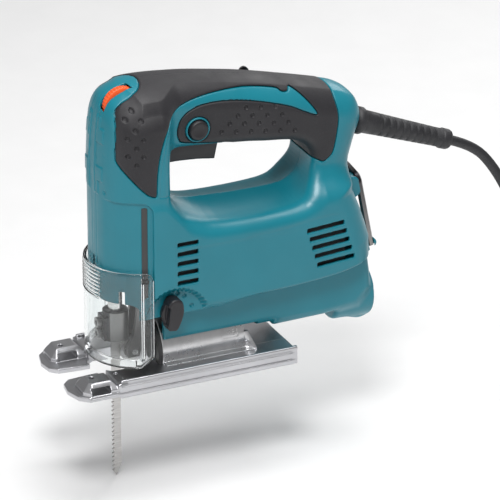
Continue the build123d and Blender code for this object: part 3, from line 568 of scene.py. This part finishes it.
REAR = [(0, 43), (0, 140), (-155, 140), (-155, 104), (-160.7, 90), (-164.4, 79), (-167, 70),
        (-167.4, 52), (-160, 43)]
LOWER = [(-20, 20.5), (-20, 62), (-166, 62), (-168.6, 44), (-169.5, 32), (-160, 21), (-136, 18.4),
         (-101, 17.8), (-99, 20.5)]
FLANK = {True: [(-5, 16), (20, 16), (21.9, 22.3), (24, 24), (33.6, 48), (34.2, 150), (-5, 150)],
         False: [(-5, 16), (17.5, 16), (19.6, 27.6), (33.2, 48), (34.2, 150), (-5, 150)]}
BAND = [(-15.4, 128), (-16.1, 142.9), (-18.2, 156), (-22.3, 168.5), (-29, 176.6), (-40.5, 182),
        (-57, 184.2), (-81, 183.4), (-102.5, 179), (-106.5, 176.6), (-108.5, 175.8), (-111.5, 175.6),
        (-114.2, 177.2), (-122, 170.2), (-129.8, 158.8), (-120, 162.5), (-110.8, 167.2),
        (-90.4, 173.8), (-70.1, 178), (-53.3, 178.8), (-43.2, 176.4), (-37, 171.6), (-34.2, 164.9),
        (-35.2, 158.6), (-39.9, 155.4), (-67.3, 149.8), (-73, 146.6), (-68, 141), (-32, 141),
        (-32, 125), (-15.4, 125)]
RUBBER = [(-141.3, 182), (-142.6, 166), (-143.9, 152.3), (-140.7, 133.4), (-137.2, 128.4),
          (-133.6, 126.4), (-130.8, 127.4), (-122, 131), (-105, 137), (-60, 139), (-20, 128.2),
          (-15.7, 128), (-11.7, 128.9), (-7, 132.6), (0.4, 141.4), (6.4, 150.2), (7.3, 156),
          (6.4, 173.4), (4.6, 186), (2, 194), (-3, 202), (-60, 206), (-120, 196)]


def along(points, at):
    """The height of a line of (x, height) points, smoothed."""
    line = sorted(curve(points, closed=False))
    return np.interp(at, [p[0] for p in line], [p[1] for p in line]).astype(np.float32)


def outer_form(g, left):
    """The outside of the moulding, before grips, grooves and holes."""
    x, y, z = g.x, np.abs(g.y), g.z
    round_head = np.where(x > HEAD_X, np.sqrt((x - HEAD_X) ** 2 + y ** 2), y)
    silhouette = outline(SILHOUETTE, x, z)
    window = outline(curve(WINDOW), x, z)
    # The round head, domed across its width.
    dome = sagged(silhouette, g, np.minimum(0.019 * y ** 2, 15))
    head = both(both(round_head - HEAD_R, dome, 10), -25.5 - x, 5)
    head = both(head, 55.5 - z)
    # The handle and the column behind the window.
    half = HANDLE_HALF + 8 * smooth_step(-z, -125, -104)
    loop = both(both(silhouette, y - half, 17), -window, 7)
    loop = both(loop, 95 - z)
    loop = both(loop, x + 15)
    # The motor barrel: a hollow top, a soft ridge along each side and an undercut below.
    share = 1 - np.minimum(y, 28) / 28
    ridge = along(RIDGE, x)
    top = (z - ridge - (along(CREST, x) - ridge) * share ** 2) / 1.15
    side = y - BODY_HALF - 0.6 + 0.0011 * (z - 76) ** 2
    barrel = both(both(top, side, 7), outline(REAR, x, z), 9)
    barrel = both(barrel, (along(CREASE, x) - z) * 0.95, 2.5)
    lower = both(both(outline(LOWER, x, z), y - 21.6, 7), x + 5)
    barrel = either(barrel, lower, 2.5)
    barrel = both(barrel, outline(FLANK[left], y, z), 2)
    barrel = both(barrel, x + 6)
    upper = both(either(head, loop, 13), sagged(silhouette, g, np.minimum(0.014 * y ** 2, 12)))
    form = either(upper, barrel, 8)
    # Nothing stands outside the profile, the flat of the sides or the rounded back.
    form = both(form, outline(PROFILE, x, z), 0.4)
    form = both(form, y - SIDE_Y, 0.4)
    back = np.interp(z, [44, 54, 70, 79, 90, 104, 118, 136, 149, 161],
                     [-190, -167.4, -167, -164.4, -160.7, -155, -155.6, -160.8, -164.7, -161.2])
    form = both(form, both(back - x, y - SIDE_Y, 20), 0.4)
    # The panel that the shield slides over is set back.
    panel = both(z - STEP_Z, -12.9 - x, 8)
    form = without(form, both(panel, PANEL_R - round_head), 0.5)
    # The dust nozzle, flared, with its lug.
    flare = 17.2 + 0.8 * smooth_step(-x, 150, 166)
    nozzle = both(both(rod(y, z, (0, 24.2), 0) - flare, x + 146, 3), -172.2 - x, 1.2)
    form = either(form, nozzle, 4)
    lug = both(outline(curve([(-152, 16), (-157, 11), (-162.5, 7), (-167, 5.6), (-170.5, 7.5),
                              (-171.8, 13), (-170, 20), (-156, 21)]), x, z), y - 7, 2)
    return either(form, lug, 3), round_head


def teal_half(g, left):
    """One half of the moulding with its grooves, holes and hollow inside, and its grip."""
    x, y, z = g.x, np.abs(g.y), g.z
    form, round_head = outer_form(g, left)
    band = outline(curve(BAND, steps=4), x, z)
    rubber = outline(curve(RUBBER, steps=4), x, z)
    cap = outline(curve([(20, 0), (20, -14), (2, -15.6), (-8, -14.8), (-13.5, -10), (-16.2, 0),
                         (-13.5, 10), (-8, 14.8), (2, 15.6), (20, 14)], steps=4), x, g.y)
    cap = both(cap, 186 - z)
    mask = without(without(rubber, band, 0.8), cap, 5)
    if left:
        mask = without(mask, rod(x, z, LOCK, 8.1), 0.3)
    teal = without(form, both(mask - 0.3, -form - GRIP_DEPTH), 0.35)
    teal = raised_blocks(teal, form, x, y, z)
    # The groove inside the band's edge and the shallow line on the nose.
    groove = both(both(np.abs(band + 2.6) - 0.35, -form - 0.5), both(z - 172, -30 - x))
    teal = without(teal, groove, 0.2)
    nose_line = both(np.abs(y - 5.6) - 0.3, both(8 - x, 78 - z))
    teal = without(teal, both(nose_line, -form - 0.5), 0.2)
    # Vents and the slots that the shield's studs run in.
    # The vents are cut down to the black sheets of painted shade.
    for k in range(VENT_COUNT):
        front = both(np.abs(x + 35.7) - 7.2, np.abs(z - 93.2 + 6.55 * k) - VENT_HALF, 0.35)
        teal = without(teal, both(front, SHADE_SHEET_Y - y), 0.5)
        across = (x + 130.2 + 1.8 * k) / 12.9
        rear = both(np.abs(across) * 12.9 - 12.9,
                    np.abs(z - 86.9 + 6.1 * k + 0.95 * across) - VENT_HALF, 0.45)
        teal = without(teal, both(rear, SHADE_SHEET_Y - y), 0.5)
    track = both(np.abs(x + 8) - 2, np.abs(z - 90.5) - 30.5, 1.2)
    teal = without(teal, both(track, 29.4 - y), 0.4)
    if left:
        # The shallow flat behind the front vents, the well of the orbit knob, and the holes for
        # the knob's shaft, the lock button with its ring, and the speed wheel.
        inlet = outline(curve([(-46, 44), (-52, 62), (-58, 76), (-66, 86), (-78, 90), (-95, 91),
                               (-150, 93), (-170, 60), (-120, 20), (-60, 20)]), x, z)
        teal = both(teal, y - SIDE_Y + 0.45 * smooth_step(-inlet, -1.2, 1.2))
        disc = rod(x, z, WELL, 0)
        flutes = 0.4 * np.cos(44 * np.arctan2(z - WELL[1], x - WELL[0])) * smooth_step(disc, 12, 19)
        well = both((disc - 19.8 - 0.8 * np.maximum(y - 28.4, 0) + flutes) * 0.75, 28.4 - y)
        teal = without(teal, well, 0.3)
        for pip in ((-30.3, 58.4), (-35, 55.9), (-40, 48.6), (-34.5, 41)):
            teal = without(teal, both(rod(x, z, pip, 1.35), 27.3 - y), 0.2)
        teal = without(teal, both(rod(x, z, LEVER, 4.4), 10 - y))
        ring = both(np.abs(rod(x, z, LOCK, 7.3)) - 0.75, both(y - 21.9, 15 - y), 0.4)
        teal = either(teal, ring)
        teal = without(teal, both(rod(x, z, LOCK, 6.75), 14 - y))
        wheel = both(rod(x, z, DIAL, 13.0), np.abs(y - 6) - 3.1)
        teal = without(teal, wheel, 0.4)
    else:
        # The screw holes, each with a fine ring.
        for place in ((-153, 62), (-30, 57), (-129, 145), (-98, 177.5), (-155, 150)):
            teal = without(teal, both(rod(x, z, place, 3.4), both(-form - 2.6, 10 - y)), 0.4)
            boss = rod(x, z, place, 5.4)
            teal = without(teal, both(np.abs(boss) - 0.25, -form - 0.4), 0.2)
    # The small sunk dots down the head's front corner.
    for place in ((13.3, 14.2, 180), (13.3, 14.2, 153.5), (12.8, 14.6, 129)):
        dot = np.sqrt((x - place[0]) ** 2 + (y - place[1]) ** 2 + (z - place[2]) ** 2) - 1.5
        teal = without(teal, dot, 0.3)
    # The hollow inside and the ways through the wall. The way for the saddle is wider on the
    # right, where the saddle's foot comes up as the base tilts.
    hollow = both(form + WALL, 24 - z)
    for opening in (
            rod(y, z, (0, PIVOT_Z), ARCH_R + (0.7 if left else 1.6)) + 99 * (x < -89 if left else x < -111),
            both(both(np.abs(x + 9) - 15, y - 24), both(z - 64, 12 - z)),
            both(both(round_head - 29.2, -100 - x), both(z - 82, 50 - z)),
            both(both(np.abs(x + 58) - 32, y - 8.8), np.abs(z - 145) - 15),
            both(rod(y, z, (0, 24.2), 15), x + 152),
            guard_hole(x, y, z)):
        hollow = either(hollow, opening)
    # Walls left standing behind the tracks, the vents and the knob's well.
    backing = box(g, (-13, -3), (28.0, 29.6), (56, 124))
    for wide, tall in (((-146, -114), (56, 92)), ((-45, -26.5), (62, 98))):
        backing = either(backing, box(g, wide, (26.9, 28.6), tall))
        backing = either(backing, box(g, wide, (28, 31.5), (tall[1] - 1.2, tall[1])))
    if left:
        backing = either(backing, both(rod(x, z, WELL, 21), np.abs(y - 27.4) - 1.8))
        hollow = without(hollow, both(rod(x, z, WELL, 24), 25.6 - y))
    corner = outline([(-60, 96), (-18, 96), (-18, 126), (-36, 126)], x, z)
    hollow = without(hollow, both(corner, -form - 6))
    hollow = without(hollow, backing)
    teal = without(teal, hollow, 0.3)
    teal = both(teal, 0.1 - y, 0.45)
    grip = both(both(form - 0.35, mask + 0.12, 1.1), -form - 1.55, 0.2)
    grip = both(grip, 0.06 - y, 0.3)
    return teal, dimpled(grip, form, x, y, z)


def guard_hole(x, y, z):
    """The seat of the strain relief in the back of the handle."""
    out, up = GUARD[0] - x, z - GUARD[2]
    along_guard = out * cos(GUARD_TILT) - up * sin(GUARD_TILT)
    from_axis = np.sqrt(y ** 2 + (out * sin(GUARD_TILT) + up * cos(GUARD_TILT)) ** 2)
    return both(from_axis - 7.6, -along_guard - 18)


def raised_blocks(teal, form, x, y, z):
    """The stepped blocks down the head's front corner."""
    turn = np.degrees(np.arctan2(y, x - HEAD_X))
    edge = np.where(z > 169.5, 18, np.where(z > 160.6, 26, np.where(z > 145, 11.5, np.where(
        z > 135.8, 25, 16.5))))
    block = both(turn - edge, both(z - 177, 126 - z))
    block = both(block, 6 - turn) * 0.5
    return either(teal, both(form - 1.0, block, 0.25), 0.1)


def dimpled(grip, form, x, y, z):
    """The grip with its rows of small pits."""
    pits = [(-3.3, 183.6 - 11 * k) for k in range(4)] + [(1.3, 178.8 - 11.2 * k) for k in range(3)]
    pits += [(-7.3, 178.2 - 11.1 * k) for k in range(3)]
    pits += [(-80.5 + 5.6 * row - 10 * k, 172.1 - 4.5 * row - 1.45 * k)
             for row, count in enumerate((3, 4, 5, 6)) for k in range(count)]
    for pit in pits:
        shallow = both(rod(x, z, pit, 1.35), -form - 0.75)
        grip = without(grip, both(shallow, 12 - y), 0.35)
    return grip


def housing(paint):
    """Both halves and their grips. The right half is worked out on the left and mirrored."""
    g = Grid((-176, -1.5, 2), (21.5, 37.5, 200), FINE)
    for left, name in ((True, "left"), (False, "right")):
        teal, grip = teal_half(g, left)
        skin(f"housing_{name}_shell", teal, g, paint["teal_housing"], "housing",
             [f"housing_{name}"], mirror=not left, faces=190000)
        skin(f"grip_{name}_overmould", grip, g, paint["soft_grip"], "housing",
             [f"grip_{name}"], mirror=not left, faces=120000)


# ---- Base ----
def fork_base(paint):
    """The cast base: side rails, a split fork with bevelled blocks, and slots for a fence."""
    g = Grid((-111, -40.5, -1.5), (44, 40.5, 12.5), 0.42)
    x, y, z = g.x, np.abs(g.y), g.z
    plan = outline([(-109, 0), (-108.7, 34), (-107.4, 37.4), (-104, 38.5), (33, 38.5), (39, 33),
                    (42, 22), (40.5, 12), (36, 7.5), (20, 6.2), (16, 6.2), (16, -3), (-109, -3)], x, y)
    plan = both(plan, -109 - x - 0.0018 * y ** 2, 1.2)
    sole = both(both(plan, z - 3.2, 0.8), -z, 0.35)
    flat = both(both(both(plan + 0.2, z - 8, 0.7), x - 13, 0.5), -z - 1)
    flat = without(flat, both(y - 19, 7.7 - z) + 50 * (x > -20), 0.4)
    rail = both(both(np.abs(y - 36.2) - 1.5, z - 10.3, 1.1), both(x - 12, -108.7 - x, 0.6))
    groove = both(np.abs(y - 33.9) - 0.7, both(7.1 - z, x - 11))
    lip = both(np.abs(y - 38.1) - 0.5, 7.3 - z)
    form = either(sole, without(without(flat, groove, 0.4), lip, 0.2), 0.4)
    form = either(form, rail, 0.5)
    block = outline([(13.2, 17), (33.5, 17), (36, 20), (36, 33), (32, 37.6), (13.2, 37.6)], x, y)
    taper = block + np.maximum(z - 5.4, 0) * 0.85
    block = both(both(taper, z - 10.5, 0.9), 2 - z)
    form = either(form, block, 0.7)
    cheek = both(both(outline([(8, 20), (14, 18.5), (14, 38), (8, 38)], x, y), z - 8.3, 0.8), 2 - z)
    form = either(form, cheek, 1)
    fence = both(both(np.abs(x - 25.2) - 6.3, np.abs(z - 5.7) - 2.1, 0.5), 14 - y)
    form = without(form, fence, 0.3)
    for level, wide in ((6.9, 0.3), (2.3, 0.35)):
        line = both(np.abs(z - level) - wide, both(37.75 - y, x - (12 if level > 5 else 33)))
        form = without(form, line, 0.25)
    screw = both(rod(x, y, (27, 25.5), 1.6), 7 - z)
    form = without(form, screw, 0.2)
    form = without(form, both(rod(x, y, (9.5, 22), 1.4), 7 - z), 0.2)
    throat = both(rod(x, y, (-2, 0), 20), both(-19 - x, x - 15))
    form = without(form, both(throat, y - 16.8), 0.8)
    form = without(form, both(y - 5.6, 12 - x), 0.5)
    slot = both(y - 5, np.abs(x + 52) - 8)
    form = without(form, slot, 0.4)
    return skin("base_casting", form, g, paint["cast_aluminium"], "base", ["base_plate"],
                faces=150000)


def saddle(paint):
    """The bright arched saddle with its end flare, bolt slot and scribed angle lines."""
    g = Grid((-92, -26, 6.5), (-21, 26, 37.5), 0.42)
    x, y, z = g.x, np.abs(g.y), g.z
    ring = rod(y, z, (0, PIVOT_Z), 0)
    arch = both(both(ring - ARCH_R, ARCH_R - 2.5 - ring), both(x + 23, -79 - x, 0.3), 0.3)
    flare = smooth_step(-x, 77, 86) ** 2 * smooth_step(-z, -20, -9) * smooth_step(g.y, 4, 12)
    flare = 21.6 + 5 * flare            # on the left only: the right comes up as the base tilts
    skirt = both(both(ring - flare, flare - 2.2 - ring), both(x + 74, -86 - x + 0.35 * (z - 8)), 0.4)
    form = either(arch, both(skirt, z - 19.5, 0.5), 0.5)
    foot = both(outline([(17, 7), (26, 7), (26, 8.4), (21.8, 8.9), (17, 9.8)], y, z),
                both(x + 24, -86.5 - x), 0.3)
    form = either(form, foot, 0.8)
    form = both(form, 7.9 - z)
    turn = np.degrees(np.arctan2(g.y, z - PIVOT_Z))
    bolt = both(np.abs(x + 52) - 3.1, np.abs(turn) - 58)
    form = without(form, bolt, 0.2)
    scribe = both(np.abs(z - 17.6) - 0.16, np.abs(x + 69.5) - 5)
    scribe = either(scribe, both(np.abs(x + 74.4) - 0.16, np.abs(z - 19.5) - 2))
    scribe = either(scribe, both(np.abs(x + 71.6) - 0.16, np.abs(z - 20.3) - 1.3))
    form = without(form, both(scribe, both(ARCH_R - 0.35 - ring, 10 - y)))
    return skin("base_saddle_arch", form, g, paint["bright_cast"], "base", ["base_saddle"],
                faces=90000)


# ---- Shield ----
def shield(paint):
    """The clear dust shield: a bent shell with finger ribs, a thick lower band and cut corners."""
    g = Grid((-19, -36, 11.5), (20.5, 36, 79), 0.5)
    x, y, z = g.x, np.abs(g.y), g.z
    plan = np.where(x > HEAD_X, np.sqrt((x - HEAD_X) ** 2 + y ** 2), y)
    side = outline([(-12.3, 20), (-12.3, 72.5), (-11.1, 75.8), (-7.8, 77.4), (24, 77.4), (24, 13.1),
                    (-5, 13.1)], x, z)
    shell = both(both(plan - 33.9, 32.1 - plan), side, 0.5)
    rim = both(both(plan - 34, 31.75 - plan), both(side, -side - 1.5), 0.3)
    shell = either(shell, rim, 0.3)
    band = both(both(plan - 34, 31 - plan), both(z - 19.5 + 0.05 * y, 13.1 - z, 0.4), 0.4)
    shell = either(shell, both(band, -2 - x), 0.5)
    spine = both(both(np.abs(x + 6) - 0.6, plan - 34.0), both(31.2 - plan, side + 3))
    shell = either(shell, spine, 0.4)
    for k in range(8):
        rib = both(both(np.abs(z - 75.2 + 2.5 * k) - 0.5, plan - 34.4), both(33 - plan, y - 13))
        shell = either(shell, both(rib, -x), 0.4)
    stud = both(both(rod(x, z, (-8, 72), 1.7), y - 33), 29 - y)
    shell = either(shell, stud, 0.3)
    return skin("dust_shield", shell, g, paint["clear_cover"], "cover", ["dust_cover"],
                faces=120000)


# ---- Controls ----
def trigger(paint):
    """The long paddle trigger, a little hollow along its grip face."""
    g = Grid((-92, -10, 131), (-24, 10, 158), 0.45)
    x, y, z = g.x, np.abs(g.y), g.z
    sheet = outline(curve([(-30, 150.5), (-30, 138.4), (-30.6, 137.4), (-40, 137.4), (-54, 136.4),
                           (-64.6, 134.9), (-65.9, 136), (-67.2, 144), (-68.5, 147), (-74, 149),
                           (-84, 148.6), (-86.5, 151), (-84, 153.6), (-74, 154), (-50, 153.5)], steps=3),
                    x, z)
    half = 8 - 0.8 * smooth_step(-z, -146, -136)
    form = both(sheet, y - half, 1.6)
    form = without(form, rod(x, z, (-84, 151), 2.1))
    return skin("trigger_paddle", form, g, paint["black_plastic"], "trigger", ["trigger"],
                faces=40000)


def lock_button(paint):
    """The round lock button with a soft edge and a dished face."""
    profile = [(0, 6.1), (0.4, 6.35), (7.6, 6.35), (8.4, 6.1), (9.0, 5.5), (9.2, 4.8), (9.0, 3.6),
               (8.75, 2), (8.7, 0.3)]
    piece = lathe("lock_button_cap", profile, (LOCK[0], 15, LOCK[1]), (0, 1, 0))
    return placed(piece, paint["black_plastic"], "lock_button", ["lock_button"])


def lever(paint):
    """The orbit knob: a round boss with a tall thumb grip across it and a pointer."""
    g = Grid((-14, -14, -1), (16, 14, 10), 0.35)
    u, v, w = g.x, g.y, g.z
    boss = both(both(rod(u, v, (0, 0), 6.8), w - 3.6, 0.9), 0.2 - w)
    blade = both(outline(curve([(-8.8, -3.4), (-10, 0), (-8.8, 3.4), (0, 5.8), (6.5, 5.3), (10.2, 3.3),
                                (11.1, 0), (10.2, -3.3), (6.5, -5.3), (0, -5.8)]), u, v), w - 9.2, 1.5)
    blade = both(blade, 0.2 - w)
    pinch = both(np.abs(v - 6.2) - 2.6, np.abs(u + 0.5) - 6.5, 1.5)
    form = either(boss, without(blade, both(pinch, 4 - w), 0.8), 0.9)
    piece = skin("orbit_knob", form, g, paint["black_plastic"], "orbit", faces=30000)
    lean = radians(-98)
    u_axis = Vector((cos(lean), 0, -sin(lean)))
    axes = Matrix((u_axis, Vector((0, 1, 0)).cross(u_axis), Vector((0, 1, 0)))).transposed().to_4x4()
    piece.data.transform(Matrix.Translation(Vector((LEVER[0] + 0.8, 28.9, LEVER[1] + 1.5)) * MM) @ axes)
    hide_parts("orbit_lever")
    return piece


def dial(paint):
    """The orange speed wheel with a milled edge."""
    def milled(at, angle):
        return -0.45 * (0.5 + 0.5 * cos(36 * angle)) if 0.6 < at < 4.2 else 0
    profile = [(0, 6), (0, DIAL_R - 0.9), (0.3, DIAL_R - 0.4), (0.7, DIAL_R), (2.4, DIAL_R),
               (4.1, DIAL_R), (4.5, DIAL_R - 0.4), (4.8, DIAL_R - 0.9), (4.8, 6)]
    piece = lathe("speed_wheel", profile, (DIAL[0], 3.6, DIAL[1]), (0, 1, 0), turns=288, wobble=milled)
    return placed(piece, paint["orange_plastic"], "speed_dial", ["speed_dial"])


def clips(paint):
    """The two clips on the housing's back that hold the hex key."""
    g = Grid((-181, -8, 46), (-150, 12, 108), 0.45)
    x, y, z = g.x, g.y, g.z
    upper = both(outline(curve([(-156, 104), (-164.6, 104.6), (-167.4, 99), (-167, 94.6), (-163.4, 91.2),
                                (-156, 89)], steps=4), x, z), np.abs(y - 2) - 6, 1.2)
    lower = both(outline(curve([(-164, 62), (-170, 59.4), (-175.2, 60.6), (-178.6, 57), (-176, 52.6),
                                (-170, 50.6), (-164, 50)], steps=4), x, z), np.abs(y - 2) - 5.5, 1.2)
    form = either(upper, lower)
    key = rod(x - 0.192 * (z - 79.5), y, (-170.2, 5), 2.9)
    form = without(form, both(key, both(48 - z, z - 106)), 0.3)
    return skin("key_clips", form, g, paint["teal_housing"], "housing", ["key_clip"],
                faces=30000)


def finish_nodes(paint):
    """Every CAD node that still shows takes the material of its slot."""
    slots = {part["node"]: part["material_slot"] for part in frame["record"]["subparts"]}
    for name, piece in frame["nodes"].items():
        if not piece.hide_render:
            piece.data.materials.clear()
            piece.data.materials.append(paint[slots[name]])


paint = make_materials()
camera_and_light()
cord(paint)
guard(paint)
housing(paint)
painted_shade_strips(paint)
clips(paint)
fork_base(paint)
saddle(paint)
shield(paint)
trigger(paint)
lock_button(paint)
lever(paint)
dial(paint)
finish_nodes(paint)
